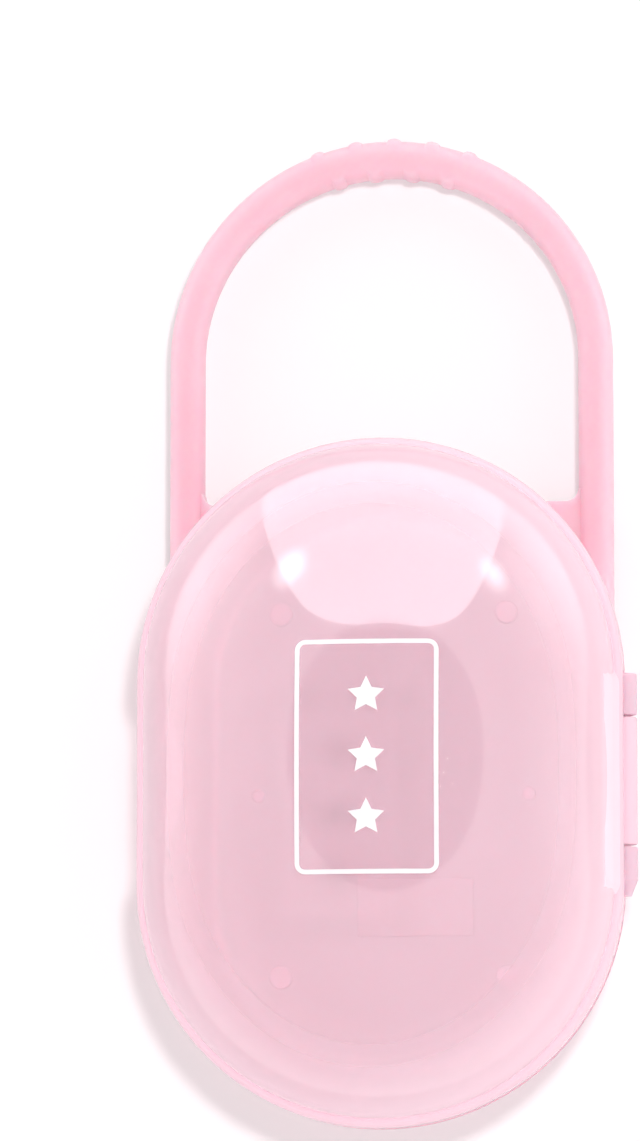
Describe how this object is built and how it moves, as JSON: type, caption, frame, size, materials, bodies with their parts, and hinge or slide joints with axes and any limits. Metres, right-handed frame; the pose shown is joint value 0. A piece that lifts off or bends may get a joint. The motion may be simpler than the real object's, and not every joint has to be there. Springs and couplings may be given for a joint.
{
  "type": "pacifier case",
  "caption": "Hinged travel case for a pacifier: tray-shaped rear shell, clear domed cover that opens like a book, and a carrying loop.",
  "frame": {"origin": "centre of the rear shell's flat back, the face that the case rests on", "axes": "+X towards the hinge, +Y towards the carrying loop, +Z out of the front cover"},
  "size_m": [0.0719, 0.1467, 0.0436],
  "materials": {
    "shell": "translucent pink polypropylene, satin moulded surface",
    "cover": "clear pink polypropylene, polished",
    "loop": "translucent pink polypropylene, thick section",
    "pin": "pink polypropylene rod"
  },
  "bodies": {
    "rear_half": {"rear_shell": "shell", "carry_loop": "loop", "hinge_pin": "pin"},
    "cover_half": {"front_cover": "cover"}
  },
  "joints": [
    {"name": "cover_hinge", "type": "hinge", "parent": "rear_half", "child": "cover_half", "pos_m": [0.03525, 0, 0.022], "axis": [0, 1, 0], "range_deg": [0, 180]}
  ]
}
